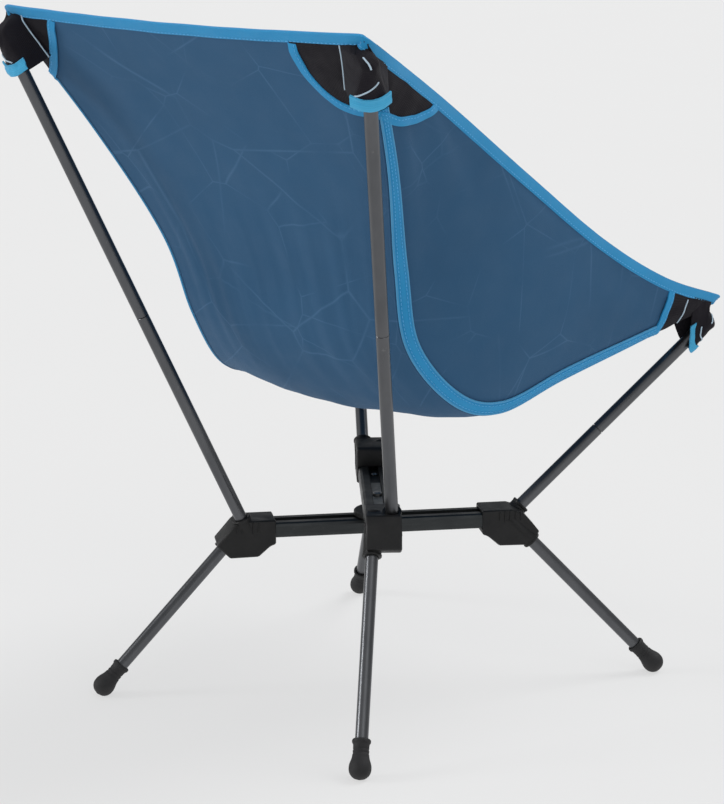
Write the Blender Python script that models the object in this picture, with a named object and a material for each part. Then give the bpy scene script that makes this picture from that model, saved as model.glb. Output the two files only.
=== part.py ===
"""Ultralight backpacking chair: a four-hub X base, shock-corded poles and a sewn sling seat.

Metres, +Z up. The chair stands on z = 0, faces -Y, and its right-hand side is -X.
"""
import math

import bmesh
import bpy
from mathutils import Matrix, Vector

# ---------------------------------------------------------------- driving dimensions
CENTRING = (-0.0062, -0.0074)  # moves the finished chair so that its box is centred on the origin
PIVOT_Y = -0.0055            # the two crossbars cross on this vertical axis, at x = 0
HUB_X = 0.0865               # hub reference point, from the pivot, sideways
HUB_Y = 0.098                # and fore and aft
SOCKET_SIDE = 0.0088         # upright on one side of the hub's middle plane, leg on the other

FOOT_BACK = (0.165, 0.2075)  # bulb centres of the feet, in the hub's middle plane
FOOT_FRONT = (0.193, -0.199)
TIP_BACK = (0.2055, 0.2735, 0.640)   # upper ends of the uprights
TIP_FRONT = (0.2177, -0.2465, 0.345)

BAR_WIDTH = 0.030
BAR_HEIGHT = 0.015
BAR_WALL = 0.0016
BAR_HALF_LENGTH = 0.117
BAR_CORNER = 0.0035
CHANNEL_WIDTH = 0.0104
CHANNEL_DEPTH = 0.0042
LOWER_BAR_TOP = 0.1664
UPPER_BAR_TOP = 0.1875

HUB_HALF_WIDTH = 0.0165
HUB_START = 0.101
LOWER_SOCKET_Z = 0.158       # height at which a hub's two socket axes pass each other
UPPER_SOCKET_Z = 0.193
UPRIGHT_SHIFT = {"back": -0.003, "front": 0.003}  # how far out along its bar an upright is socketed
BOSS_R = 0.0087
BOSS_START = {"lower": -0.004, "upper": -0.013}
# how far an upright and a leg go into the hub past the point where their axes pass each other
SOCKET_DEPTH = {
    ("lower", "back"): (0.0095, 0.0050),
    ("lower", "front"): (0.0140, 0.0050),
    ("upper", "back"): (0.0090, 0.0080),
    ("upper", "front"): (0.0140, 0.0080),
}
BOSS_REACH = {"lower": (0.0150, 0.0300), "upper": (0.0170, 0.0300)}  # collars on the two axes
SPACER_R = 0.023

POLE_R = 0.006
POLE_BORE = 0.0051
SOCKET_R = 0.0063
FERRULE_R = 0.0048
FERRULE_BORE = 0.0030
FERRULE_LENGTH = 0.070
POLE_SPLIT = 0.45            # the upright's joint, as a share of its length from the hub
CORD_R = 0.0015
TIP_R = 0.0068
GAP = 0.0003

FOOT_R = 0.0102
FOOT_CENTRE_Z = 0.0095
RIVET_AT = 0.085             # hub rivets, from the pivot along a bar

FABRIC = 0.0020              # thickness of the panels' solids
BINDING_WIDTH = 0.0115
BINDING_THICK = 0.0032
BACK_RIM = Vector((0.2110, 0.2715, 0.6655))
FRONT_RIM = Vector((0.2180, -0.2740, 0.3685))
BACK_RIM_SAG = Vector((0, 0.003, -0.004))
FRONT_RIM_SAG = Vector((0, 0.012, -0.020))
PANEL_SAG = 0.010
SEAM_INSET = 0.004           # the panels stop this far short of the seam, and the tape bridges them
CORNER_CUT = 0.022           # and the centre panel's corners are cut off by this much
CORNER_CUT_SPAN = 0.040

# the seam between centre panel and left side panel, from the back rim to the front rim
SEAM = [
    BACK_RIM,
    Vector((0.171, 0.1945, 0.548)),
    Vector((0.137, 0.1415, 0.446)),
    Vector((0.128, 0.1125, 0.368)),
    Vector((0.140, 0.0620, 0.311)),
    Vector((0.152, 0.0050, 0.294)),
    Vector((0.168, -0.0705, 0.314)),
    Vector((0.189, -0.1715, 0.338)),
    FRONT_RIM,
]
# the left side panel's upper edge, from the back rim to the front rim
SIDE_EDGE = [
    BACK_RIM,
    Vector((0.191, 0.1400, 0.599)),
    Vector((0.186, 0.0100, 0.519)),
    Vector((0.192, -0.1000, 0.447)),
    Vector((0.204, -0.1900, 0.398)),
    FRONT_RIM,
]

CORNERS = {  # name: side, end, crossbar
    "back_left": (1, "back", "lower"),
    "back_right": (-1, "back", "upper"),
    "front_right": (-1, "front", "lower"),
    "front_left": (1, "front", "upper"),
}
UP = Vector((0, 0, 1))
PIVOT = Vector((0, PIVOT_Y, 0))


# ---------------------------------------------------------------- scene and materials
def clear_scene():
    for obj in list(bpy.data.objects):
        bpy.data.objects.remove(obj, do_unlink=True)


def make_material(name, colour, roughness, metallic=0.0):
    mat = bpy.data.materials.new(name)
    mat.use_nodes = True
    shader = mat.node_tree.nodes["Principled BSDF"]
    shader.inputs["Base Color"].default_value = (*colour, 1.0)
    shader.inputs["Roughness"].default_value = roughness
    shader.inputs["Metallic"].default_value = metallic
    return mat


def make_materials():
    return {
        "pole": make_material("pole_aluminium", (0.16, 0.165, 0.175), 0.30, 0.9),
        "bar": make_material("bar_aluminium", (0.09, 0.095, 0.10), 0.38, 0.9),
        "plate": make_material("steel_plate", (0.28, 0.28, 0.27), 0.35, 1.0),
        "rivet": make_material("rivet_steel", (0.35, 0.35, 0.35), 0.30, 1.0),
        "nylon": make_material("hub_nylon", (0.012, 0.012, 0.013), 0.55),
        "rubber": make_material("foot_rubber", (0.014, 0.014, 0.015), 0.75),
        "cord": make_material("elastic_cord", (0.02, 0.02, 0.022), 0.8),
        "fabric": make_material("panel_fabric", (0.042, 0.098, 0.190), 0.8),
        "trim": make_material("trim_webbing", (0.045, 0.300, 0.620), 0.7),
        "patch": make_material("patch_fabric", (0.012, 0.013, 0.018), 0.8),
    }


def add_object(name, mesh, mat, parent=None, matrix=None, smooth=False):
    """One named object; matrix is its place in its parent's frame."""
    obj = bpy.data.objects.new(name, mesh)
    bpy.context.scene.collection.objects.link(obj)
    if mat is not None:
        mesh.materials.append(mat)
    obj.parent = parent
    obj.matrix_local = matrix or Matrix.Identity(4)
    if smooth:
        mesh.shade_smooth()
        mesh.set_sharp_from_angle(angle=math.radians(35))
    return obj


def add_empty(name, matrix, parent=None):
    obj = bpy.data.objects.new(name, None)
    bpy.context.scene.collection.objects.link(obj)
    obj.parent = parent
    obj.matrix_local = matrix
    return obj


def add_boolean(obj, tool, operation="DIFFERENCE"):
    tool.hide_render = True
    tool.display_type = "WIRE"
    step = obj.modifiers.new(tool.name, "BOOLEAN")
    step.operation = operation
    step.solver = "EXACT"
    step.object = tool


# ---------------------------------------------------------------- mesh helpers
def to_mesh(bm, name):
    bmesh.ops.recalc_face_normals(bm, faces=bm.faces)
    mesh = bpy.data.meshes.new(name)
    bm.to_mesh(mesh)
    bm.free()
    return mesh


def ring_mesh(name, rings, closed_path=False):
    """A closed skin over rings of points; the path's ends are capped, or joined in a loop."""
    bm = bmesh.new()
    rows = [[bm.verts.new(p) for p in ring] for ring in rings]
    pairs = list(zip(rows, rows[1:]))
    if closed_path:
        pairs.append((rows[-1], rows[0]))
    count = len(rows[0])
    for row, following in pairs:
        for k in range(count):
            n = (k + 1) % count
            bm.faces.new((row[k], row[n], following[n], following[k]))
    if not closed_path:
        bm.faces.new(rows[0])
        bm.faces.new(rows[-1])
    return to_mesh(bm, name)


def circle(radius, height, sides):
    step = 2 * math.pi / sides
    return [Vector((radius * math.cos(k * step), radius * math.sin(k * step), height)) for k in range(sides)]


def turned_mesh(name, profile, sides, closed_profile=False):
    """A solid turned about Z from (radius, height) pairs; a closed profile gives a ring or a tube."""
    return ring_mesh(name, [circle(r, z, sides) for r, z in profile], closed_profile)


def tube_mesh(name, low, high, outer, inner, sides=16):
    return turned_mesh(name, [(outer, low), (outer, high), (inner, high), (inner, low)], sides, True)


def rod_mesh(name, low, high, radius, sides=12):
    return turned_mesh(name, [(radius, low), (radius, high)], sides)


def box_mesh(name, low, high):
    corners = [(low[0], low[1]), (high[0], low[1]), (high[0], high[1]), (low[0], high[1])]
    return ring_mesh(name, [[Vector((x, y, z)) for x, y in corners] for z in (low[2], high[2])])


def sheet_normals(grid):
    """The unit normal of a grid of points at each point."""
    rows, cols = len(grid), len(grid[0])
    normals = []
    for i in range(rows):
        line = []
        for j in range(cols):
            down = grid[min(i + 1, rows - 1)][j] - grid[max(i - 1, 0)][j]
            across = grid[i][min(j + 1, cols - 1)] - grid[i][max(j - 1, 0)]
            line.append(down.cross(across).normalized())
        normals.append(line)
    return normals


def sheet_mesh(name, grid, thickness):
    """A closed sheet of even thickness about a grid of points."""
    normals = sheet_normals(grid)
    bm = bmesh.new()
    sides = []
    for sign in (0.5, -0.5):
        shift = sign * thickness
        sides.append([
            [bm.verts.new(p + n * shift) for p, n in zip(points, ways)]
            for points, ways in zip(grid, normals)
        ])
    rows, cols = len(grid), len(grid[0])
    for side in sides:
        for i in range(rows - 1):
            for j in range(cols - 1):
                bm.faces.new((side[i][j], side[i][j + 1], side[i + 1][j + 1], side[i + 1][j]))
    rim = [(0, j) for j in range(cols)]
    rim += [(i, cols - 1) for i in range(1, rows)]
    rim += [(rows - 1, j) for j in range(cols - 2, -1, -1)]
    rim += [(i, 0) for i in range(rows - 2, 0, -1)]
    for (a, b), (c, d) in zip(rim, rim[1:] + rim[:1]):
        bm.faces.new((sides[0][a][b], sides[0][c][d], sides[1][c][d], sides[1][a][b]))
    return to_mesh(bm, name)


# ---------------------------------------------------------------- smooth curves
class Route:
    """A smooth curve through points, read by the distance along it."""

    STEPS = 16

    def __init__(self, points):
        ends = [2 * points[0] - points[1], *points, 2 * points[-1] - points[-2]]
        self.fine = []
        for a, b, c, d in zip(ends, ends[1:], ends[2:], ends[3:]):
            for k in range(self.STEPS):
                self.fine.append(self.between(a, b, c, d, k / self.STEPS))
        self.fine.append(points[-1])
        self.at = [0.0]
        for p, q in zip(self.fine, self.fine[1:]):
            self.at.append(self.at[-1] + (q - p).length)
        self.length = self.at[-1]

    @staticmethod
    def between(a, b, c, d, t):
        return 0.5 * (
            2 * b
            + (c - a) * t
            + (2 * a - 5 * b + 4 * c - d) * t * t
            + (3 * b - a - 3 * c + d) * t ** 3
        )

    def point(self, distance):
        distance = min(max(distance, 0.0), self.length)
        k = 0
        while k < len(self.at) - 2 and self.at[k + 1] < distance:
            k += 1
        span = self.at[k + 1] - self.at[k]
        return self.fine[k].lerp(self.fine[k + 1], (distance - self.at[k]) / span)

    def way(self, distance):
        step = 0.004
        return (self.point(distance + step) - self.point(distance - step)).normalized()


def mirrored(point, side):
    return Vector((side * point.x, point.y, point.z))


# ---------------------------------------------------------------- where the frame's lines run
def outward(side, end):
    """The level direction from the pivot to a hub."""
    return Vector((side * HUB_X, HUB_Y if end == "back" else -HUB_Y, 0)).normalized()


def axis_matrix(origin, way):
    """A frame at origin whose Z runs along way."""
    return Matrix.Translation(origin) @ way.to_track_quat("Z", "Y").to_matrix().to_4x4()


def corner_lines(side, end, level):
    """A corner's two pole axes: (upright start, tip) and (leg start, foot)."""
    out = outward(side, end)
    across = UP.cross(out) * SOCKET_SIDE
    reach = math.hypot(HUB_X, HUB_Y)
    z = LOWER_SOCKET_Z if level == "lower" else UPPER_SOCKET_Z
    hub = PIVOT + out * reach + UP * z
    tip_at = TIP_BACK if end == "back" else TIP_FRONT
    foot_at = FOOT_BACK if end == "back" else FOOT_FRONT
    tip = Vector((side * tip_at[0], tip_at[1], tip_at[2]))
    foot = Vector((side * foot_at[0], foot_at[1], FOOT_CENTRE_Z))
    shift = out * UPRIGHT_SHIFT[end]
    return (hub + across + shift, tip + across), (hub - across, foot - across)


# ---------------------------------------------------------------- base: bars, spacer, rivets
def bar_outline(top):
    """Half of the extrusion's outer section with its channel, mirrored into a full one."""
    half, low, channel = BAR_WIDTH / 2, top - BAR_HEIGHT, CHANNEL_WIDTH / 2
    c = BAR_CORNER
    right = [
        (channel, top - CHANNEL_DEPTH),
        (channel, top),
        (half - c, top),
        (half - 0.3 * c, top - 0.3 * c),
        (half, top - c),
        (half, low + c),
        (half - 0.3 * c, low + 0.3 * c),
        (half - c, low),
    ]
    return right + [(-y, z) for y, z in reversed(right)]


def bar_bore(top):
    """The extrusion's inner section, under the channel and up into both shoulders."""
    half, low, channel = BAR_WIDTH / 2 - BAR_WALL, top - BAR_HEIGHT + BAR_WALL, CHANNEL_WIDTH / 2 + BAR_WALL
    floor, high = top - CHANNEL_DEPTH - BAR_WALL, top - BAR_WALL
    c = BAR_CORNER - BAR_WALL
    right = [
        (channel, floor),
        (channel, high),
        (half - c, high),
        (half, high - c),
        (half, low + c),
        (half - c, low),
    ]
    return right + [(-y, z) for y, z in reversed(right)]


def bar_mesh(name, top):
    """A hollow extrusion along local X."""
    bm = bmesh.new()
    loops = []
    for section in (bar_outline(top), bar_bore(top)):
        ends = []
        for x in (-BAR_HALF_LENGTH, BAR_HALF_LENGTH):
            ends.append([bm.verts.new((x, y, z)) for y, z in section])
        count = len(section)
        for k in range(count):
            n = (k + 1) % count
            bm.faces.new((ends[0][k], ends[0][n], ends[1][n], ends[1][k]))
        loops.append(ends)
    for end in range(2):
        edges = []
        for ring in (loops[0][end], loops[1][end]):
            edges += [bm.edges.get((ring[k], ring[(k + 1) % len(ring)])) for k in range(len(ring))]
        bmesh.ops.triangle_fill(bm, edges=edges, use_beauty=True)
    return to_mesh(bm, name)


def build_base(mats, frames):
    """Crossbars, spacer, pivot rivet and hub rivets."""
    plate_half = 0.046
    plate_low = UPPER_BAR_TOP - CHANNEL_DEPTH + GAP
    plate_high = plate_low + 0.0022
    pin_r, hole_r, head_r = 0.0030, 0.0034, 0.0044
    for level, top in (("lower", LOWER_BAR_TOP), ("upper", UPPER_BAR_TOP)):
        side = next(s for s, end, of in CORNERS.values() if of == level and end == "back")
        out = outward(side, "back")
        along = Matrix.Rotation(math.atan2(out.y, out.x), 4, "Z")
        profile = bar_mesh(f"{level}_bar", top)
        bar = add_object(f"{level}_crossbar", profile, mats["bar"], frames[level], along)
        for n, x in enumerate((-RIVET_AT, 0.0, RIVET_AT)):
            low = top - BAR_HEIGHT - 0.002 if n == 1 else top - CHANNEL_DEPTH - 0.004
            hole = rod_mesh(f"hole_{level}_{n}", low, top + 0.002, hole_r if n == 1 else 0.0024)
            place = along @ Matrix.Translation((x, 0, 0))
            add_boolean(bar, add_object(f"cut_{level}_bar_{n}", hole, None, frames[level], place))
        if level == "upper":
            plate_ends = (-plate_half, -0.0046, plate_low), (plate_half, 0.0046, plate_high)
            blank = box_mesh("pivot_plate", *plate_ends)
            plate = add_object("pivot_plate", blank, mats["plate"], frames[level], along)
            hole = rod_mesh("hole_plate", plate_low - 0.002, plate_high + 0.002, hole_r)
            add_boolean(plate, add_object("cut_plate", hole, None, frames[level], along))

    spacer = [
        (SPACER_R - 0.001, LOWER_BAR_TOP + GAP),
        (SPACER_R, LOWER_BAR_TOP + GAP + 0.001),
        (SPACER_R, UPPER_BAR_TOP - BAR_HEIGHT - GAP - 0.001),
        (SPACER_R - 0.001, UPPER_BAR_TOP - BAR_HEIGHT - GAP),
        (hole_r, UPPER_BAR_TOP - BAR_HEIGHT - GAP),
        (hole_r, LOWER_BAR_TOP + GAP),
    ]
    disc = turned_mesh("spacer", spacer, 24, True)
    add_object("pivot_spacer", disc, mats["nylon"], frames["lower"], smooth=True)
    low = LOWER_BAR_TOP - BAR_HEIGHT - GAP
    high = plate_high + GAP
    pivot = [
        (head_r - 0.0012, low - 0.0018),
        (head_r, low - 0.0008),
        (head_r, low),
        (pin_r, low),
        (pin_r, high),
        (head_r, high),
        (head_r, high + 0.0024),
        (head_r - 0.0014, high + 0.0036),
    ]
    add_object("pivot_rivet", turned_mesh("pivot", pivot, 16), mats["rivet"], frames["lower"], smooth=True)


# ---------------------------------------------------------------- hubs
def hub_side_outline(level):
    """A hub's side view: (distance from the pivot, height), round the outside."""
    if level == "lower":
        return [
            (HUB_START, 0.1700),
            (0.1300, 0.1700),
            (0.1410, 0.1665),
            (0.1580, 0.1465),
            (0.1455, 0.1335),
            (0.1180, 0.1340),
            (0.1065, 0.1440),
            (HUB_START, 0.1460),
        ]
    return [
        (HUB_START, 0.1705),
        (0.1420, 0.1705),
        (0.1560, 0.1775),
        (0.1530, 0.1900),
        (0.1450, 0.2070),
        (0.1040, 0.2070),
        (HUB_START, 0.2040),
    ]


def build_hub(name, mats, frames):
    side, end, level = CORNERS[name]
    out = outward(side, end)
    turn = Matrix.Rotation(math.atan2(out.y, out.x), 4, "Z")
    outline = hub_side_outline(level)
    rings = [[Vector((x, y, z)) for x, z in outline] for y in (-HUB_HALF_WIDTH, HUB_HALF_WIDTH)]
    hub = add_object(f"hub_{name}", ring_mesh(f"hub_{name}", rings), mats["nylon"], frames[level], turn)
    bevel = hub.modifiers.new("edges", "BEVEL")
    bevel.width = 0.0012
    bevel.segments = 1
    bevel.limit_method = "ANGLE"
    bevel.angle_limit = math.radians(20)

    places = []
    for start, finish in corner_lines(side, end, level):
        places.append(axis_matrix(start - PIVOT, (finish - start).normalized()))
    for part, place, reach in zip(("upright", "leg"), places, BOSS_REACH[level]):
        boss = rod_mesh(f"boss_{name}_{part}", BOSS_START[level], reach, BOSS_R, 20)
        add_boolean(hub, add_object(f"collar_{name}_{part}", boss, None, frames[level], place), "UNION")

    top = LOWER_BAR_TOP if level == "lower" else UPPER_BAR_TOP
    half = BAR_WIDTH / 2 + GAP
    pocket = box_mesh(
        f"pocket_{name}",
        (HUB_START - 0.004, -half, top - BAR_HEIGHT - GAP),
        (BAR_HALF_LENGTH + GAP, half, top + GAP),
    )
    add_boolean(hub, add_object(f"cut_{name}_bar", pocket, None, frames[level], turn))
    for part, place, depth in zip(("upright", "leg"), places, SOCKET_DEPTH[level, end]):
        socket = rod_mesh(f"socket_{name}_{part}", -depth - GAP, 0.060, SOCKET_R, 16)
        add_boolean(hub, add_object(f"cut_{name}_{part}", socket, None, frames[level], place))

    head_z = top - CHANNEL_DEPTH + GAP
    rivet = [
        (0.0020, head_z - 0.0035),
        (0.0020, head_z),
        (0.0034, head_z),
        (0.0034, head_z + 0.0007),
        (0.0022, head_z + 0.0016),
    ]
    place = turn @ Matrix.Translation((RIVET_AT, 0, 0))
    button = turned_mesh(f"rivet_{name}", rivet, 12)
    add_object(f"hub_rivet_{name}", button, mats["rivet"], frames[level], place, True)


# ---------------------------------------------------------------- poles, cords and feet
def build_upright(name, mats, frames):
    side, end, level = CORNERS[name]
    start, tip = corner_lines(side, end, level)[0]
    way = (tip - start).normalized()
    length = (tip - start).length
    low = -SOCKET_DEPTH[level, end][0]
    split = length * POLE_SPLIT
    high = length - 0.014
    line = add_empty(f"upright_line_{name}", axis_matrix(start - PIVOT, way), frames[level])
    lower = tube_mesh(f"upright_lower_{name}", low, split - GAP / 2, POLE_R, POLE_BORE)
    add_object(f"upright_lower_{name}", lower, mats["pole"], line, smooth=True)
    upper = tube_mesh(f"upright_upper_{name}", split + GAP / 2, high, POLE_R, POLE_BORE)
    add_object(f"upright_upper_{name}", upper, mats["pole"], line, smooth=True)
    half = FERRULE_LENGTH / 2
    ferrule = tube_mesh(f"ferrule_{name}", split - half, split + half, FERRULE_R, FERRULE_BORE, 12)
    add_object(f"ferrule_{name}", ferrule, mats["rivet"], line, smooth=True)
    plug = [
        (0.0046, high - 0.012),
        (0.0046, high + GAP),
        (TIP_R, high + GAP),
        (TIP_R, high + 0.012),
        (TIP_R * 0.75, high + 0.0155),
        (TIP_R * 0.35, high + 0.017),
    ]
    add_object(f"pole_tip_{name}", turned_mesh(f"tip_{name}", plug, 12), mats["nylon"], line, smooth=True)
    cord = rod_mesh(f"shock_cord_{name}", low + 0.001, high - 0.012 - GAP, CORD_R, 8)
    place = axis_matrix(start - PIVOT, way)
    add_object(f"shock_cord_{name}", cord, mats["cord"], frames[level], place)


def foot_mesh(name, down):
    """A rubber foot along Z, its lip at -0.026 and its bulb about 0, worn flat where it stands."""
    bore_end = -0.004
    profile = [
        (POLE_R + GAP, bore_end),
        (POLE_R + GAP, -0.0270),
        (0.0084, -0.0270),
        (0.0084, -0.0240),
        (0.0073, -0.0225),
        (0.0074, -0.0140),
        (0.0092, -0.0060),
        (FOOT_R, 0.0),
        (FOOT_R * 0.92, 0.0042),
        (FOOT_R * 0.68, 0.0076),
        (FOOT_R * 0.30, 0.0097),
    ]
    mesh = turned_mesh(name, profile, 16)
    bm = bmesh.new()
    bm.from_mesh(mesh)
    bpy.data.meshes.remove(mesh)
    everything = bm.verts[:] + bm.edges[:] + bm.faces[:]
    ground = down * FOOT_CENTRE_Z
    cut = bmesh.ops.bisect_plane(bm, geom=everything, plane_co=ground, plane_no=down, clear_outer=True)
    edges = [e for e in cut["geom_cut"] if isinstance(e, bmesh.types.BMEdge)]
    bmesh.ops.contextual_create(bm, geom=edges)
    return to_mesh(bm, name)


def build_leg(name, mats, frames):
    side, end, level = CORNERS[name]
    start, foot = corner_lines(side, end, level)[1]
    way = (foot - start).normalized()
    length = (foot - start).length
    line = add_empty(f"leg_line_{name}", axis_matrix(start - PIVOT, way), frames[level])
    leg = tube_mesh(f"leg_{name}", -SOCKET_DEPTH[level, end][1], length - 0.005, POLE_R, POLE_BORE)
    add_object(f"leg_{name}", leg, mats["pole"], line, smooth=True)
    down = way.to_track_quat("Z", "Y").inverted() @ -UP
    place = Matrix.Translation((0, 0, length))
    add_object(f"foot_{name}", foot_mesh(f"foot_{name}", down), mats["rubber"], line, place, True)


# ---------------------------------------------------------------- seat
def level_cross(way):
    """Square to a curve's direction and lying in the fore-and-aft plane, away from the sitter."""
    return Vector((0, -way.z, way.y)).normalized()


def seat_surface(seam, distance, share):
    """The centre panel at a distance down the seam; share runs from -1 (right seam) to 1 (left seam)."""
    edge = seam.point(distance)
    ends = math.sin(math.pi * min(max(distance / seam.length, 0), 1))
    rim = distance / seam.length
    sag = level_cross(seam.way(distance)) * PANEL_SAG * ends
    sag += BACK_RIM_SAG * (1 - rim) ** 4 + FRONT_RIM_SAG * rim ** 3
    return Vector((edge.x * share, edge.y, edge.z)) + sag * (1 - share * share)


def side_surface(seam, edge, share, rise, side):
    """A side panel: share runs from the back rim to the front rim, rise from the seam to the upper edge."""
    low = seam.point(seam.length * share)
    high = edge.point(edge.length * share)
    point = low.lerp(high, rise)
    point.x += 0.012 * math.sin(math.pi * rise) * math.sin(math.pi * share)
    return mirrored(point, side)


def build_panels(mats, seam, edge):
    clear = BINDING_WIDTH + 5 * GAP
    rows, cols = 20, 10
    grid = []
    for i in range(rows + 1):
        distance = clear + (seam.length - 2 * clear) * i / rows
        corner = max(0.0, 1 - min(distance, seam.length - distance) / CORNER_CUT_SPAN)
        inset = (SEAM_INSET + CORNER_CUT * corner) / seam.point(distance).x
        grid.append([
            seat_surface(seam, distance, (1 - inset) * (2 * j / cols - 1)) for j in range(cols + 1)
        ])
    add_object("seat_centre_panel", sheet_mesh("seat_centre", grid, FABRIC), mats["fabric"], smooth=True)

    rows, cols = 14, 5
    first, last = 0.085, 0.925
    for name, side in (("left", 1), ("right", -1)):
        grid = []
        for i in range(rows + 1):
            share = first + (last - first) * i / rows
            rise = edge.point(edge.length * share) - seam.point(seam.length * share)
            square = (rise - rise.project(edge.way(edge.length * share))).length
            low, high = SEAM_INSET / rise.length, 1 - clear / square
            grid.append([
                side_surface(seam, edge, share, low + (high - low) * j / cols, side) for j in range(cols + 1)
            ])
        panel = sheet_mesh(f"side_{name}", grid, FABRIC)
        add_object(f"seat_side_panel_{name}", panel, mats["fabric"], smooth=True)


def build_seam_bands(mats, seam, edge):
    """A tape sewn over each seam, on the outside."""
    steps = 26
    for name, side in (("left", 1), ("right", -1)):
        rings = []
        for i in range(steps + 1):
            share = 0.055 + 0.895 * i / steps
            distance = seam.length * share
            centre = seam.point(distance)
            into_side = (edge.point(edge.length * share) - centre).normalized()
            into_seat = Vector((-1, 0, 0))
            across = (into_side - into_seat).normalized()
            out = -(into_side + into_seat)
            out = (out - out.project(seam.way(distance))).normalized()
            half = 0.0035 + 0.0030 * math.sin(math.pi * share) ** 0.5
            middle = centre + out * 0.0042
            thick = out * 0.0010
            ring = [middle + across * half + thick, middle - across * half + thick]
            ring += [middle - across * half - thick, middle + across * half - thick]
            rings.append([mirrored(p, side) for p in ring])
        add_object(f"seam_tape_{name}", ring_mesh(f"seam_{name}", rings), mats["trim"])


def rim_stations(seam, edge):
    """Points round the seat's rim with the direction into the fabric at each, anticlockwise from above."""
    stations = []
    back, front, sides = 12, 10, 16
    corner = 0.045
    for i in range(back + 1):
        share = 1 - 2 * i / back
        point = seat_surface(seam, 0.0, share)
        inner = seat_surface(seam, BINDING_WIDTH, share * 0.985)
        stations.append((point, (inner - point).normalized()))
    for side in (-1, 1):
        line = []
        for i in range(1, sides):
            share = i / sides
            high = edge.point(edge.length * share)
            low = seam.point(seam.length * share)
            into = (low - high).normalized()
            fade = min(1.0, min(share, 1 - share) * edge.length / corner)
            end_way = seam.way(0.0) if share < 0.5 else -seam.way(seam.length)
            into = end_way.lerp(into, fade).normalized()
            line.append((mirrored(high, side), mirrored(into, side)))
        if side == -1:
            stations += line
            for k in range(front + 1):
                share = 2 * k / front - 1
                point = seat_surface(seam, seam.length, share)
                inner = seat_surface(seam, seam.length - BINDING_WIDTH, share * 0.985)
                stations.append((point, (inner - point).normalized()))
        else:
            stations += reversed(line)
    return stations


def build_binding(mats, seam, edge):
    """The folded tape round the whole rim, one closed loop."""
    stations = rim_stations(seam, edge)
    count = len(stations)
    rings = []
    for k, (point, into) in enumerate(stations):
        way = (stations[(k + 1) % count][0] - stations[k - 1][0]).normalized()
        into = (into - into.project(way)).normalized()
        out = way.cross(into).normalized() * (BINDING_THICK / 2)
        inner = point + into * BINDING_WIDTH
        rings.append([point + out, inner + out, inner - out, point - out])
    add_object("edge_binding", ring_mesh("edge_binding", rings, True), mats["trim"])


def build_corner(name, mats, seam):
    """Reinforcing patch, tip sleeve and pull tab of one corner."""
    side, end, level = CORNERS[name]
    start, tip = corner_lines(side, end, level)[0]
    way = (tip - start).normalized()
    place = axis_matrix(tip, way)
    sleeve = [
        (0.0078, -0.034),
        (0.0078, 0.0040),
        (0.0030, 0.0046),
        (0.0030, 0.0058),
        (0.0082, 0.0054),
        (0.0092, 0.0030),
        (0.0098, -0.034),
    ]
    mesh = turned_mesh(f"tip_sleeve_{name}", sleeve, 12, True)
    add_object(f"tip_sleeve_{name}", mesh, mats["patch"], None, place, True)

    inward = Vector((-side, -1 if end == "back" else 1, 0))
    local = way.to_track_quat("Z", "Y").inverted() @ inward
    facing = math.atan2(-local.y, -local.x)
    section = ((0.0112, -0.031), (0.0128, -0.031), (0.0124, -0.040), (0.0108, -0.040))
    rings = []
    steps, spread = 8, math.radians(100)
    for i in range(steps + 1):
        angle = facing + spread * (2 * i / steps - 1)
        ray = Vector((math.cos(angle), math.sin(angle), 0))
        rings.append([ray * r + UP * z for r, z in section])
    add_object(f"pull_tab_{name}", ring_mesh(f"pull_tab_{name}", rings), mats["trim"], None, place)

    reach_down, reach_across = (0.062, 0.080) if end == "back" else (0.046, 0.050)
    clear = BINDING_WIDTH + 2 * GAP
    grid = []
    for i in range(7):
        share = 0.98 * i / 6
        down = clear + reach_down * share
        distance = down if end == "back" else seam.length - down
        half = seam.point(distance).x
        width = reach_across * math.sqrt(1 - share * share)
        row = []
        for j in range(6):
            at = seat_surface(seam, distance, side * (1 - (0.010 + width * j / 5) / half))
            row.append(at + level_cross(seam.way(distance)) * (FABRIC + GAP))
        grid.append(row)
    add_object(f"corner_patch_{name}", sheet_mesh(f"patch_{name}", grid, 0.0012), mats["patch"])


def main():
    clear_scene()
    mats = make_materials()
    frames = {
        "lower": add_empty("lower_base_frame", Matrix.Translation(PIVOT)),
        "upper": add_empty("upper_base_frame", Matrix.Translation(PIVOT)),
    }
    seam, edge = Route(SEAM), Route(SIDE_EDGE)
    build_base(mats, frames)
    build_panels(mats, seam, edge)
    build_seam_bands(mats, seam, edge)
    build_binding(mats, seam, edge)
    for name in CORNERS:
        build_hub(name, mats, frames)
        build_upright(name, mats, frames)
        build_leg(name, mats, frames)
        build_corner(name, mats, seam)
    for obj in bpy.data.objects:
        if obj.parent is None:
            obj.location.x += CENTRING[0]
            obj.location.y += CENTRING[1]


main()
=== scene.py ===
import bisect
import math

import bmesh
import bpy
from mathutils import Matrix, Vector, noise


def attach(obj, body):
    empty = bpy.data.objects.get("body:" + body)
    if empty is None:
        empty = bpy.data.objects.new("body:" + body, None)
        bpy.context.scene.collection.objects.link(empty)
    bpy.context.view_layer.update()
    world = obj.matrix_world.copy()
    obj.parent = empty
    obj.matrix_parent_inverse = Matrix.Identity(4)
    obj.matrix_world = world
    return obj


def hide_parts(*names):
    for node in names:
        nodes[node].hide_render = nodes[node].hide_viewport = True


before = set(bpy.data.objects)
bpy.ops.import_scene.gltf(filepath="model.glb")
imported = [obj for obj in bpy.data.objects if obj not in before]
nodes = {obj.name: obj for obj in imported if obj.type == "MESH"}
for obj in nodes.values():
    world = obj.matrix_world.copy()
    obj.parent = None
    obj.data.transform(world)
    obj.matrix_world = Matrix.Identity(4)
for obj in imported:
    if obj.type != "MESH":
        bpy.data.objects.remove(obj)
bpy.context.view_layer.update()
scene = bpy.context.scene
scene.view_settings.view_transform = "Standard"
scene.view_settings.look = "None"

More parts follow.
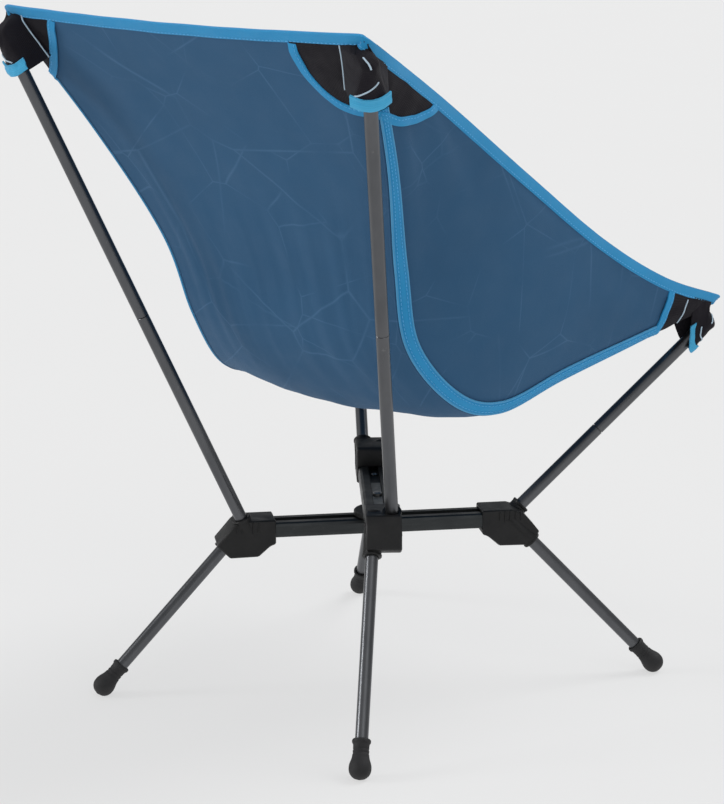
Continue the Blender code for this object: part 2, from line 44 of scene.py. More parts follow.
# ---------------------------------------------------------------- the chair's own lines, in metres
CENTRING = Vector((-0.0062, -0.0074, 0))
PIVOT = Vector((0, -0.0055, 0))
HUB_X, HUB_Y = 0.0865, 0.098
SOCKET_SIDE = 0.0088
FOOT_CENTRE_Z = 0.0095
TIPS = {"back": (0.2055, 0.2735, 0.640), "front": (0.2177, -0.2465, 0.345)}
FEET = {"back": (0.165, 0.2075), "front": (0.193, -0.199)}
SOCKET_Z = {"lower": 0.158, "upper": 0.193}
POLE_R, POLE_BORE = 0.006, 0.0051
POLE_SPLIT = 0.45
UPRIGHT_SHIFT = {"back": -0.003, "front": 0.003}
CORNERS = {
    "back_left": (1, "back", "lower"),
    "back_right": (-1, "back", "upper"),
    "front_right": (-1, "front", "lower"),
    "front_left": (1, "front", "upper"),
}
SOCKET_DEPTH = {
    ("lower", "back"): (0.0095, 0.0050),
    ("lower", "front"): (0.0140, 0.0050),
    ("upper", "back"): (0.0090, 0.0080),
    ("upper", "front"): (0.0140, 0.0080),
}
UP = Vector((0, 0, 1))

BACK_RIM = Vector((0.2110, 0.2715, 0.6655))
FRONT_RIM = Vector((0.2180, -0.2740, 0.3685))
SEAM_POINTS = [
    BACK_RIM,
    Vector((0.171, 0.1945, 0.548)),
    Vector((0.137, 0.1415, 0.446)),
    Vector((0.128, 0.1125, 0.368)),
    Vector((0.140, 0.0620, 0.311)),
    Vector((0.152, 0.0050, 0.294)),
    Vector((0.168, -0.0705, 0.314)),
    Vector((0.189, -0.1715, 0.338)),
    FRONT_RIM,
]
EDGE_POINTS = [
    BACK_RIM,
    Vector((0.191, 0.1400, 0.599)),
    Vector((0.186, 0.0100, 0.519)),
    Vector((0.192, -0.1000, 0.447)),
    Vector((0.204, -0.1900, 0.398)),
    FRONT_RIM,
]
PANEL_SAG = 0.010
SIDE_BULGE = 0.012
BACK_RIM_SAG = Vector((0, 0.003, -0.004))
FRONT_RIM_SAG = Vector((0, 0.012, -0.020))
CLOTH = 0.0009
BINDING_WIDTH, BINDING_THICKNESS = 0.0115, 0.0030
UNDER_BINDING = 0.0088  # cloth that goes under the binding starts this far in from the rim
BAND_ROOM = 0.0098      # a patch's tape stops where the rim is nearer than this
PATCH = {  # reach across the centre panel, down the seam and along the side edge; squareness of its border
    "back_right": (0.080, 0.088, 0.180, 1.0),
    "back_left": (0.066, 0.082, 0.180, 1.8),
    "front_right": (0.060, 0.097, 0.100, 1.2),
    "front_left": (0.060, 0.097, 0.100, 1.2),
}
POCKET_MOUTH = {"back": 0.036, "front": 0.028}  # from the pole's end back to the pocket's mouth
POCKET_TOP = 0.010                              # from the pole's end out to the pocket's closed end
POCKET_WING = {"back_right": 0.029, "back_left": 0.021, "front_right": 0.015, "front_left": 0.015}
POCKET_PIPING = (  # from and to, as shares down and across the pocket
    ((0.0, 0.05), (1.0, 0.05)),
    ((0.24, 0.40), (0.52, 0.68)),
    ((0.95, 0.66), (0.82, 0.64)),
)
HUB_RIB_Z = {"lower": (0.1560, 0.1690), "upper": (0.1775, 0.1985)}
HUB_SOCKET_REACH = {"lower": (0.0150, 0.0300), "upper": (0.0170, 0.0300)}  # upright, leg
LIGHTS = (  # name, strength, angle in degrees, way it shines
    ("key", 1.25, 30, (0.25, 0.75, -1.0)),
    ("fill", 0.45, 50, (1.0, -0.55, -0.75)),
    ("left", 1.00, 16, (-0.85, -0.80, -0.45)),
    ("top", 0.5, 100, (-0.1, 0.1, -1.0)),
)


def distances(points):
    """How far along a chain of points each one lies."""
    at = [0.0]
    for p, q in zip(points, points[1:]):
        at.append(at[-1] + (q - p).length)
    return at


class Route:
    """A smooth curve through points, read by the distance along it."""

    STEPS = 24

    def __init__(self, points):
        ends = [2 * points[0] - points[1], *points, 2 * points[-1] - points[-2]]
        self.fine = []
        for a, b, c, d in zip(ends, ends[1:], ends[2:], ends[3:]):
            for k in range(self.STEPS):
                self.fine.append(self.between(a, b, c, d, k / self.STEPS))
        self.fine.append(points[-1])
        self.at = distances(self.fine)
        self.length = self.at[-1]

    @staticmethod
    def between(a, b, c, d, t):
        return 0.5 * (
            2 * b
            + (c - a) * t
            + (2 * a - 5 * b + 4 * c - d) * t * t
            + (3 * b - a - 3 * c + d) * t ** 3
        )

    def point(self, distance):
        distance = min(max(distance, 0.0), self.length)
        k = min(max(bisect.bisect_left(self.at, distance) - 1, 0), len(self.at) - 2)
        span = self.at[k + 1] - self.at[k]
        return self.fine[k].lerp(self.fine[k + 1], (distance - self.at[k]) / span)

    def way(self, distance):
        step = 0.004
        return (self.point(distance + step) - self.point(distance - step)).normalized()


SEAM, EDGE = Route(SEAM_POINTS), Route(EDGE_POINTS)


def mirrored(point, side):
    return Vector((side * point.x, point.y, point.z))


def bump(x, centre, width):
    """A smooth hump of height 1 about centre."""
    t = (x - centre) / width
    return math.exp(-t * t)


def smooth(a, b, x):
    t = min(max((x - a) / (b - a), 0.0), 1.0)
    return t * t * (3 - 2 * t)


def corner_lines(side, end, level):
    out = Vector((side * HUB_X, HUB_Y if end == "back" else -HUB_Y, 0)).normalized()
    across = UP.cross(out) * SOCKET_SIDE
    hub = PIVOT + out * math.hypot(HUB_X, HUB_Y) + UP * SOCKET_Z[level]
    tip, foot = TIPS[end], FEET[end]
    tip = Vector((side * tip[0], tip[1], tip[2]))
    foot = Vector((side * foot[0], foot[1], FOOT_CENTRE_Z))
    start = hub + across + out * UPRIGHT_SHIFT[end]
    return (start + CENTRING, tip + across + CENTRING), (hub - across + CENTRING, foot - across + CENTRING)


# ---------------------------------------------------------------- the seat's surfaces
def seat_wrinkle(distance, share):
    """Small folds of the centre panel, in metres along its normal."""
    rim = distance / SEAM.length
    hold = smooth(0.0, 0.10, rim) * smooth(1.0, 0.90, rim) * smooth(1.0, 0.86, abs(share))
    low_back = bump(rim, 0.36, 0.13)
    ridges = noise.noise(Vector((share * 9.0, rim * 2.2, 3.1))) * 0.0016 * low_back
    ridges += noise.noise(Vector((share * 17.0, rim * 3.0, 7.7))) * 0.0007 * low_back
    broad = noise.noise(Vector((share * 2.1, rim * 4.2, 1.3))) * 0.0030
    fine = noise.noise(Vector((share * 6.0 + rim * 5, rim * 11.0, 9.2))) * 0.0007
    return hold * (ridges + broad + fine)


def seat_surface(distance, share, wrinkles=True):
    """The centre panel: share runs from -1 at the right seam to 1 at the left one."""
    edge = SEAM.point(distance)
    rim = min(max(distance / SEAM.length, 0.0), 1.0)
    way = SEAM.way(distance)
    out = Vector((0, -way.z, way.y)).normalized()
    sag = out * PANEL_SAG * math.sin(math.pi * rim)
    sag += BACK_RIM_SAG * (1 - rim) ** 4 + FRONT_RIM_SAG * rim ** 3
    point = Vector((edge.x * share, edge.y, edge.z)) + sag * (1 - share * share)
    if wrinkles:
        point += out * seat_wrinkle(distance, share)
    return point


def side_wrinkle(share, rise):
    hold = smooth(0.0, 0.10, share) * smooth(1.0, 0.92, share)
    tall = (EDGE.point(EDGE.length * share) - SEAM.point(SEAM.length * share)).length
    hold *= smooth(0.010, 0.024, rise * tall) * smooth(0.010, 0.024, (1 - rise) * tall)
    slant = rise * 0.55 + share
    sway = 1.5 * noise.noise(Vector((share * 3, rise * 3, 5)))
    folds = math.sin(slant * 21 + sway) * 0.0016 * bump(share, 0.28, 0.16)
    folds += noise.noise(Vector((share * 4.0, rise * 2.0, 2.4))) * 0.0032
    folds += noise.noise(Vector((share * 13.0, rise * 5.0 + share * 8, 6.4))) * 0.0008
    return hold * folds


def side_surface(share, rise, side, wrinkles=True):
    """A side panel: share from the back rim to the front rim, rise from the seam to the upper edge."""
    low = SEAM.point(SEAM.length * share)
    high = EDGE.point(EDGE.length * share)
    point = low.lerp(high, rise)
    point.x += SIDE_BULGE * math.sin(math.pi * rise) * math.sin(math.pi * share)
    if wrinkles:
        point.x += side_wrinkle(share, rise)
    return mirrored(point, side)


# ---------------------------------------------------------------- mesh helpers
def finish_piece(name, mesh, mat, body, place=CENTRING, replaces=(), sharp=40):
    mesh.transform(Matrix.Translation(place))
    obj = bpy.data.objects.new(name, mesh)
    scene.collection.objects.link(obj)
    mesh.materials.append(mat)
    mesh.shade_smooth()
    if sharp:
        mesh.set_sharp_from_angle(angle=math.radians(sharp))
    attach(obj, body)
    if replaces:
        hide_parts(*replaces)
    return obj


def mesh_from(bm, name, coords=None):
    """A mesh out of a finished bmesh, with faces turned outwards and UVs from coords when given."""
    bmesh.ops.recalc_face_normals(bm, faces=bm.faces)
    if coords:
        uv = bm.loops.layers.uv.active
        for face in bm.faces:
            for loop in face.loops:
                loop[uv].uv = coords[loop.vert]
    mesh = bpy.data.meshes.new(name)
    bm.to_mesh(mesh)
    bm.free()
    return mesh


def sew(name, mesh, mat, replaces=(), sharp=40):
    """A piece of the seat."""
    return finish_piece(name, mesh, MATS[mat], "seat", replaces=replaces, sharp=sharp)


def grid_normals(grid):
    rows, cols = len(grid), len(grid[0])
    normals = []
    for i in range(rows):
        line = []
        for j in range(cols):
            down = grid[min(i + 1, rows - 1)][j] - grid[max(i - 1, 0)][j]
            across = grid[i][min(j + 1, cols - 1)] - grid[i][max(j - 1, 0)]
            n = down.cross(across)
            line.append(n.normalized() if n.length > 1e-12 else Vector((0, 0, 1)))
        normals.append(line)
    return normals


def sheet_mesh(name, grid, thickness, lift=0.0, flip=False):
    """A closed sheet about a grid of points, with UVs in metres; lift moves it along its normals."""
    normals = grid_normals(grid)
    way = -1.0 if flip else 1.0
    bm = bmesh.new()
    bm.loops.layers.uv.new("UVMap")
    sides, coords = [], {}
    rows, cols = len(grid), len(grid[0])
    us, vs = distances(grid[rows // 2]), distances([row[cols // 2] for row in grid])
    for sign in (0.5, -0.5):
        shift = way * (sign * thickness + lift)
        side = []
        for i in range(rows):
            line = []
            for j in range(cols):
                v = bm.verts.new(grid[i][j] + normals[i][j] * shift)
                coords[v] = (us[j], vs[i])
                line.append(v)
            side.append(line)
        sides.append(side)
    for side in sides:
        for i in range(rows - 1):
            for j in range(cols - 1):
                bm.faces.new((side[i][j], side[i][j + 1], side[i + 1][j + 1], side[i + 1][j]))
    rim = [(0, j) for j in range(cols)]
    rim += [(i, cols - 1) for i in range(1, rows)]
    rim += [(rows - 1, j) for j in range(cols - 2, -1, -1)]
    rim += [(i, 0) for i in range(rows - 2, 0, -1)]
    for (a, b), (c, d) in zip(rim, rim[1:] + rim[:1]):
        bm.faces.new((sides[0][a][b], sides[0][c][d], sides[1][c][d], sides[1][a][b]))
    return mesh_from(bm, name, coords)


def ring_mesh(name, rings, closed_path=False):
    bm = bmesh.new()
    bm.loops.layers.uv.new("UVMap")
    rows = [[bm.verts.new(p) for p in ring] for ring in rings]
    at, around = distances([ring[0] for ring in rings]), distances(rings[0])
    coords = {}
    for i, row in enumerate(rows):
        for k, v in enumerate(row):
            coords[v] = (around[k], at[i])
    pairs = list(zip(rows, rows[1:]))
    if closed_path:
        pairs.append((rows[-1], rows[0]))
    count = len(rows[0])
    for row, following in pairs:
        for k in range(count):
            n = (k + 1) % count
            bm.faces.new((row[k], row[n], following[n], following[k]))
    if not closed_path:
        bm.faces.new(rows[0])
        bm.faces.new(rows[-1])
    return mesh_from(bm, name, coords)


def round_ring(centre, across, out, radius, count, wide=1.0):
    """The points of a round section, or of an oval one that is wider along across."""
    ring = []
    for k in range(count):
        a = 2 * math.pi * k / count
        ring.append(centre + (across * math.cos(a) * wide + out * math.sin(a)) * radius)
    return ring


def turned_mesh(name, profile, sides, closed_profile=False):
    rings = []
    step = 2 * math.pi / sides
    for r, z in profile:
        rings.append([Vector((r * math.cos(k * step), r * math.sin(k * step), z)) for k in range(sides)])
    return ring_mesh(name, rings, closed_profile)


def axis_matrix(origin, way):
    return Matrix.Translation(origin) @ way.to_track_quat("Z", "Y").to_matrix().to_4x4()


def tuck_corners(grid, side_signs=(-1, 1)):
    """Draw the cloth in from the seat's four sharp corners, so that it ends inside the rounded binding."""
    radius = 0.020
    for corner, inner in ((BACK_RIM, SEAM.point(0.035)), (FRONT_RIM, SEAM.point(SEAM.length - 0.035))):
        for side in side_signs:
            apex, heart = mirrored(corner, side), mirrored(inner, side)
            for row in grid:
                for j, p in enumerate(row):
                    gap = (p - apex).length
                    if gap < radius:
                        row[j] = p + (heart - apex).normalized() * (radius - gap) * 0.3


def band_mesh(name, stations, width, thick, closed):
    """A flat tape with rounded edges along stations of (point, into, out), width wide along into."""
    rings = []
    r = thick * 0.5
    for a, into, out in stations:
        b = a + into * width
        h = out * (thick / 2)
        rings.append([
            a + into * r * 0.3 + h,
            a + into * r + h * 1.04,
            (a + b) / 2 + h * 1.1,
            b - into * r + h * 1.04,
            b - into * r * 0.3 + h * 0.8,
            b,
            b - into * r * 0.3 - h * 0.8,
            b - into * r - h * 1.04,
            (a + b) / 2 - h * 1.1,
            a + into * r - h * 1.04,
            a + into * r * 0.3 - h,
            a,
        ])
    return ring_mesh(name, rings, closed)


def stitch_mesh(name, path, outs, closed=False):
    """Separate small stitches lying along a path of points, each sunk a little at its ends."""
    pitch, length, radius = 0.0042, 0.0028, 0.00034
    shape = (-0.5, 0.45, -0.25), (-0.32, 0.95, 0.5), (0.0, 1.0, 0.75), (0.32, 0.95, 0.5), (0.5, 0.45, -0.25)
    points = list(path) + ([path[0]] if closed else [])
    normals = list(outs) + ([outs[0]] if closed else [])
    at = distances(points)
    bm = bmesh.new()
    total = at[-1]
    count = int(total / pitch)

    def sample(d):
        k = min(max(bisect.bisect_left(at, d) - 1, 0), len(at) - 2)
        t = (d - at[k]) / max(at[k + 1] - at[k], 1e-9)
        return points[k].lerp(points[k + 1], t), normals[k].lerp(normals[k + 1], t).normalized()

    for n in range(count):
        mid = (n + 0.5) * total / count
        rings = []
        for f, rad, lift in shape:
            p, out = sample(min(max(mid + f * length, 0.0), total))
            q, _ = sample(min(mid + f * length + 0.0004, total))
            way = (q - p).normalized() if (q - p).length > 1e-9 else Vector((1, 0, 0))
            across = way.cross(out).normalized()
            centre = p + out * radius * lift
            ring = []
            for k in range(5):
                a = 2 * math.pi * k / 5
                ring.append(bm.verts.new(centre + (across * math.cos(a) + out * math.sin(a)) * radius * rad))
            rings.append(ring)
        for a, b in zip(rings, rings[1:]):
            for k in range(5):
                m = (k + 1) % 5
                bm.faces.new((a[k], a[m], b[m], b[k]))
        bm.faces.new(rings[0])
        bm.faces.new(rings[-1])
    return mesh_from(bm, name)


# ---------------------------------------------------------------- materials
class Mat:
    """A material and a few short ways to add nodes to it."""

    def __init__(self, name, roughness=0.5, metallic=0.0, **sockets):
        self.mat = bpy.data.materials.new(name)
        self.mat.use_nodes = True
        self.tree = self.mat.node_tree
        self.shader = self.tree.nodes["Principled BSDF"]
        self.shader.inputs["Roughness"].default_value = roughness
        self.shader.inputs["Metallic"].default_value = metallic
        for key, value in sockets.items():
            self.shader.inputs[key.replace("_", " ")].default_value = value
        self.coord = self.tree.nodes.new("ShaderNodeTexCoord")

    def node(self, kind, **values):
        n = self.tree.nodes.new(kind)
        for key, value in values.items():
            if hasattr(n, key):
                setattr(n, key, value)
            else:
                n.inputs[key.replace("_", " ")].default_value = value
        return n

    def link(self, a, b):
        self.tree.links.new(a, b)

    def noise(self, scale, detail=2.0, rough=0.5, source="Object", stretch=None):
        n = self.node("ShaderNodeTexNoise", Scale=scale, Detail=detail, Roughness=rough)
        self.link(self.mapped(source, stretch), n.inputs["Vector"])
        return n.outputs["Fac"]

    def mapped(self, source="Object", stretch=None, turn=None):
        out = self.coord.outputs[source]
        if stretch is None and turn is None:
            return out
        m = self.node("ShaderNodeMapping")
        if stretch is not None:
            m.inputs["Scale"].default_value = stretch
        if turn is not None:
            m.inputs["Rotation"].default_value = turn
        self.link(out, m.inputs["Vector"])
        return m.outputs["Vector"]

    def ramp(self, source, stops):
        r = self.node("ShaderNodeValToRGB")
        while len(r.color_ramp.elements) < len(stops):
            r.color_ramp.elements.new(0.5)
        for element, (at, value) in zip(r.color_ramp.elements, stops):
            element.position = at
            value = (value,) * 3 if isinstance(value, (int, float)) else value
            element.color = (*value, 1.0)
        self.link(source, r.inputs["Fac"])
        return r.outputs["Color"]

    def math(self, kind, a, b, clamp=False):
        m = self.node("ShaderNodeMath", operation=kind, use_clamp=clamp)
        for socket, value in zip(m.inputs, (a, b)):
            if isinstance(value, (int, float)):
                socket.default_value = value
            else:
                self.link(value, socket)
        return m.outputs["Value"]

    def mix(self, factor, a, b, blend="MIX"):
        m = self.node("ShaderNodeMix", data_type="RGBA", blend_type=blend)
        for socket, value in ((m.inputs[0], factor), (m.inputs[6], a), (m.inputs[7], b)):
            if isinstance(value, (int, float)):
                socket.default_value = value
            elif isinstance(value, tuple):
                socket.default_value = (*value, 1.0)
            else:
                self.link(value, socket)
        return m.outputs[2]

    def colour(self, source):
        self.link(source, self.shader.inputs["Base Color"])

    def rough(self, scale, low, high, detail=2.0, rough=0.5):
        """Roughness that wanders between about low and high."""
        spread = self.ramp(self.noise(scale, detail, rough), ((0.3, low), (0.7, high)))
        self.link(spread, self.shader.inputs["Roughness"])

    def bump(self, height, distance, strength=1.0, after=None):
        b = self.node("ShaderNodeBump", Distance=distance, Strength=strength)
        self.link(height, b.inputs["Height"])
        if after is not None:
            self.link(after, b.inputs["Normal"])
        self.link(b.outputs["Normal"], self.shader.inputs["Normal"])
        return b.outputs["Normal"]


def weave_height(m, pitch, source="UV"):
    """Two crossed sets of yarns, over and under."""
    k = 2 * math.pi / pitch / 20
    warp = m.node("ShaderNodeTexWave", wave_type="BANDS", bands_direction="X", Scale=k, Distortion=0.15)
    weft = m.node("ShaderNodeTexWave", wave_type="BANDS", bands_direction="Y", Scale=k, Distortion=0.15)
    for w in (warp, weft):
        m.link(m.mapped(source), w.inputs["Vector"])
    return m.math("MULTIPLY", warp.outputs["Fac"], weft.outputs["Fac"])


def fabric_material():
    m = Mat("panel_fabric", roughness=0.78, Sheen_Weight=0.10, Sheen_Roughness=0.45, Specular_IOR_Level=0.25)
    m.shader.inputs["Sheen Tint"].default_value = (0.5, 0.7, 1.0, 1.0)
    lines = None
    for scale, width, turn in ((7.5, 0.010, (0.3, 0.2, 0.5)), (13.0, 0.012, (0.9, 1.2, 0.1))):
        v = m.node("ShaderNodeTexVoronoi", feature="DISTANCE_TO_EDGE", Scale=scale)
        m.link(m.mapped("Object", turn=turn), v.inputs["Vector"])
        line = m.ramp(v.outputs["Distance"], ((0.0, 1.0), (width, 0.0)))
        fade = m.ramp(m.noise(5.0 + scale, 1.0), ((0.40, 0.0), (0.62, 1.0)))
        line = m.math("MULTIPLY", line, fade)
        lines = line if lines is None else m.math("MAXIMUM", lines, line)
    shade = m.noise(9.0, 3.0, 0.6)
    base = m.mix(shade, (0.020, 0.077, 0.163), (0.029, 0.100, 0.204))
    yarn = m.noise(900.0, 2.0, 0.7)
    base = m.mix(m.math("MULTIPLY", yarn, 0.22), base, (0.07, 0.17, 0.30))
    m.colour(m.mix(m.math("MULTIPLY", lines, 0.24), base, (0.12, 0.25, 0.42)))
    m.rough(40.0, 0.72, 0.86)
    first = m.bump(weave_height(m, 0.0011), 0.00018, 0.55)
    m.bump(m.noise(60.0, 3.0), 0.0006, 0.25, after=first)
    return m.mat


def tape_material(name, dark, light, ribs=0.0012):
    m = Mat(name, roughness=0.7, Sheen_Weight=0.2, Sheen_Roughness=0.4, Specular_IOR_Level=0.3)
    k = 2 * math.pi / ribs / 20
    rib = m.node("ShaderNodeTexWave", wave_type="BANDS", bands_direction="Y", Scale=k, Distortion=0.3)
    m.link(m.mapped("UV"), rib.inputs["Vector"])
    shade = m.mix(m.noise(30.0, 3.0), dark, light)
    m.colour(m.mix(m.math("MULTIPLY", rib.outputs["Fac"], 0.25), shade, tuple(c * 0.72 for c in dark)))
    m.rough(120.0, 0.62, 0.8)
    first = m.bump(rib.outputs["Fac"], 0.00025, 0.6)
    m.bump(m.noise(350.0, 3.0), 0.0003, 0.4, after=first)
    return m.mat


def patch_material():
    m = Mat("patch_fabric", roughness=0.8, Sheen_Weight=0.04, Specular_IOR_Level=0.22)
    m.colour(m.mix(m.noise(25.0, 3.0), (0.005, 0.004, 0.007), (0.011, 0.009, 0.014)))
    m.rough(70.0, 0.7, 0.88)
    first = m.bump(weave_height(m, 0.0016), 0.0003, 0.8)
    m.bump(m.noise(110.0, 3.0), 0.0008, 0.35, after=first)
    return m.mat


def thread_material(name, colour):
    m = Mat(name, roughness=0.6, Sheen_Weight=0.2)
    m.colour(m.mix(m.noise(900.0, 2.0), colour, tuple(min(1.0, c * 1.25) for c in colour)))
    m.bump(m.noise(2500.0, 2.0), 0.0001, 0.5)
    return m.mat


def pole_material():
    m = Mat("pole_aluminium", roughness=0.30, metallic=0.92)
    streak = m.noise(55.0, 4.0, 0.6, stretch=(1.0, 1.0, 0.08))
    base = m.mix(streak, (0.085, 0.088, 0.094), (0.135, 0.138, 0.146))
    scuff = m.ramp(m.noise(160.0, 4.0, 0.7), ((0.66, 0.0), (0.74, 1.0)))
    m.colour(m.mix(m.math("MULTIPLY", scuff, 0.25), base, (0.30, 0.30, 0.31)))
    m.rough(14.0, 0.25, 0.34)
    m.bump(m.noise(700.0, 2.0), 0.00005, 0.35)
    return m.mat


def bar_material():
    m = Mat("bar_aluminium", roughness=0.42, metallic=0.85)
    streak = m.noise(80.0, 4.0, 0.6, stretch=(1.0, 1.0, 6.0))
    base = m.mix(streak, (0.032, 0.0350, 0.0362), (0.051, 0.0550, 0.0570))
    scuff = m.ramp(m.noise(140.0, 4.0, 0.7), ((0.62, 0.0), (0.74, 1.0)))
    m.colour(m.mix(m.math("MULTIPLY", scuff, 0.18), base, (0.16, 0.16, 0.17)))
    m.rough(45.0, 0.34, 0.50, 3.0)
    m.bump(m.noise(900.0, 2.0), 0.00006, 0.4)
    return m.mat


def nylon_material():
    m = Mat("hub_nylon", roughness=0.5, Specular_IOR_Level=0.35)
    m.colour(m.mix(m.noise(40.0, 4.0, 0.6), (0.0032, 0.0033, 0.0036), (0.0072, 0.0072, 0.0076)))
    m.rough(60.0, 0.40, 0.60, 4.0, 0.65)
    grain = m.node("ShaderNodeTexVoronoi", Scale=1500.0)
    m.link(m.mapped("Object"), grain.inputs["Vector"])
    m.bump(grain.outputs["Distance"], 0.00012, 0.5)
    return m.mat


def rubber_material():
    m = Mat("foot_rubber", roughness=0.68, Specular_IOR_Level=0.4)
    z = m.node("ShaderNodeSeparateXYZ")
    m.link(m.coord.outputs["Object"], z.inputs["Vector"])
    low = m.ramp(z.outputs["Z"], ((0.0, 1.0), (0.012, 0.0)))
    dust = m.math("MULTIPLY", low, m.noise(180.0, 3.0, 0.7))
    base = m.mix(m.noise(50.0, 3.0), (0.011, 0.011, 0.012), (0.020, 0.020, 0.021))
    m.colour(m.mix(m.math("MULTIPLY", dust, 0.35), base, (0.09, 0.085, 0.08)))
    m.rough(90.0, 0.58, 0.78, 3.0)
    m.bump(m.noise(1100.0, 3.0), 0.00015, 0.5)
    return m.mat


def steel_material(name, dark, light, rough):
    m = Mat(name, roughness=rough, metallic=0.95)
    m.colour(m.mix(m.noise(120.0, 4.0, 0.6), dark, light))
    m.rough(220.0, rough - 0.07, rough + 0.1, 3.0)
    m.bump(m.noise(1400.0, 2.0), 0.00008, 0.4)
    return m.mat


def cord_material():
    m = Mat("elastic_cord", roughness=0.8)
    m.colour(m.mix(m.noise(400.0, 3.0), (0.015, 0.015, 0.017), (0.05, 0.05, 0.055)))
    m.bump(m.noise(1200.0, 2.0), 0.0002, 0.6)
    return m.mat


MATS = {
    "fabric": fabric_material(),
    "trim": tape_material("trim_webbing", (0.016, 0.270, 0.570), (0.028, 0.330, 0.660)),
    "piping": tape_material("trim_piping", (0.060, 0.330, 0.620), (0.085, 0.390, 0.690), 0.0009),
    "patch": patch_material(),
    "tab": tape_material("tab_webbing", (0.045, 0.380, 0.660), (0.080, 0.460, 0.760), 0.0016),
    "pale": thread_material("pale_piping", (0.40, 0.52, 0.62)),
    "thread": thread_material("blue_thread", (0.085, 0.42, 0.74)),
    "pole": pole_material(),
    "bar": bar_material(),
    "nylon": nylon_material(),
    "rubber": rubber_material(),
    "rivet": steel_material("rivet_steel", (0.17, 0.17, 0.17), (0.30, 0.30, 0.30), 0.34),
    "plate": steel_material("steel_plate", (0.16, 0.16, 0.155), (0.25, 0.25, 0.24), 0.40),
    "cord": cord_material(),
}


# ---------------------------------------------------------------- seat panels
def build_panels():
    rows, cols = 150, 90
    ends = 0.002
    grid = []
    for i in range(rows + 1):
        distance = ends + (SEAM.length - 2 * ends) * i / rows
        grid.append([seat_surface(distance, 0.995 * (2 * j / cols - 1)) for j in range(cols + 1)])
    tuck_corners(grid)
    mesh = sheet_mesh("centre", grid, CLOTH)
    panel = sew("seat_centre_fabric", mesh, "fabric", ["seat_centre_panel"])
    for name, side in (("left", 1), ("right", -1)):
        rows, cols = 120, 50
        first, last = 0.012, 0.988
        grid = []
        for i in range(rows + 1):
            share = first + (last - first) * i / rows
            grid.append([side_surface(share, j / cols, side) for j in range(cols + 1)])
        tuck_corners(grid, (side,))
        mesh = sheet_mesh(f"side_{name}", grid, CLOTH)
        replaced = [f"seat_side_panel_{name}"]
        panel = sew(f"seat_side_fabric_{name}", mesh, "fabric", replaced)


def rim_path():
    """Stations (point, into, out) every few millimetres round the rim, with rounded corners."""
    raw = []
    n_back, n_side, n_front = 110, 170, 110

    def add(point, inner):
        raw.append((point, (inner - point).normalized()))

    for i in range(n_back):
        share = 1 - 2 * i / n_back
        add(seat_surface(0.0, share, False), seat_surface(BINDING_WIDTH, share * 0.985, False))

    def side_station(share, side):
        high, low = EDGE.point(EDGE.length * share), SEAM.point(SEAM.length * share)
        tall = max((low - high).length, BINDING_WIDTH)
        into = (side_surface(share, 1 - BINDING_WIDTH / tall, 1, False) - high).normalized()
        fade = min(1.0, min(share, 1 - share) * EDGE.length / 0.05)
        end_way = SEAM.way(0.0) if share < 0.5 else -SEAM.way(SEAM.length)
        into = end_way.lerp(into, smooth(0, 1, fade)).normalized()
        return mirrored(high, side), mirrored(into, side)

    for i in range(n_side):
        raw.append(side_station(i / n_side, -1))
    for i in range(n_front):
        share = 2 * i / n_front - 1
        point = seat_surface(SEAM.length, share, False)
        add(point, seat_surface(SEAM.length - BINDING_WIDTH, share * 0.985, False))
    for i in range(n_side):
        raw.append(side_station(1 - i / n_side, 1))

    for _ in range(7):
        count = len(raw)
        raw = [
            (
                (raw[k - 1][0] + raw[k][0] * 2 + raw[(k + 1) % count][0]) / 4,
                (raw[k - 1][1] + raw[k][1] * 2 + raw[(k + 1) % count][1]).normalized(),
            )
            for k in range(count)
        ]
    stations = []
    count = len(raw)
    for k, (point, into) in enumerate(raw):
        way = (raw[(k + 1) % count][0] - raw[k - 1][0]).normalized()
        into = (into - into.project(way)).normalized()
        out = way.cross(into).normalized()
        wave = 0.0006 * noise.noise(Vector((k * 0.11, 0.3, 4.0)))
        stations.append((point + out * wave, into, out))
    return stations


def build_binding():
    stations = rim_path()
    mesh = band_mesh("binding", stations, BINDING_WIDTH, BINDING_THICKNESS, True)
    sew("edge_binding_tape", mesh, "trim", replaces=["edge_binding"])
    at = BINDING_WIDTH - 0.0022
    for name, sign in (("outer", 1), ("inner", -1)):
        path = [p + into * at + out * sign * 0.00155 for p, into, out in stations]
        outs = [out * sign for _, _, out in stations]
        mesh = stitch_mesh(f"binding_stitch_{name}", path, outs, closed=True)
        sew(f"binding_stitches_{name}", mesh, "thread", sharp=0)


def seam_stations(side):
    """Stations down a seam: point, way onto the side panel, way out of the seat, share down the seam."""
    stations = []
    steps = 210
    hand = "left" if side > 0 else "right"
    first = (PATCH[f"back_{hand}"][1] - 0.004) / SEAM.length
    last = 1 - (PATCH[f"front_{hand}"][1] - 0.004) / SEAM.length
    for i in range(steps + 1):
        share = first + (last - first) * i / steps
        distance = SEAM.length * share
        centre = SEAM.point(distance)
        way = SEAM.way(distance)
        into_side = (side_surface(share, 0.08, 1, False) - centre).normalized()
        into_seat = (seat_surface(distance, 0.93, False) - centre).normalized()
        across = (into_side - into_side.project(way)).normalized()
        out = across.cross(way).normalized()
        if out.dot(into_side + into_seat) > 0:
            out = -out
        stations.append((mirrored(centre, side), mirrored(across, side), mirrored(out, side), share))
    return stations


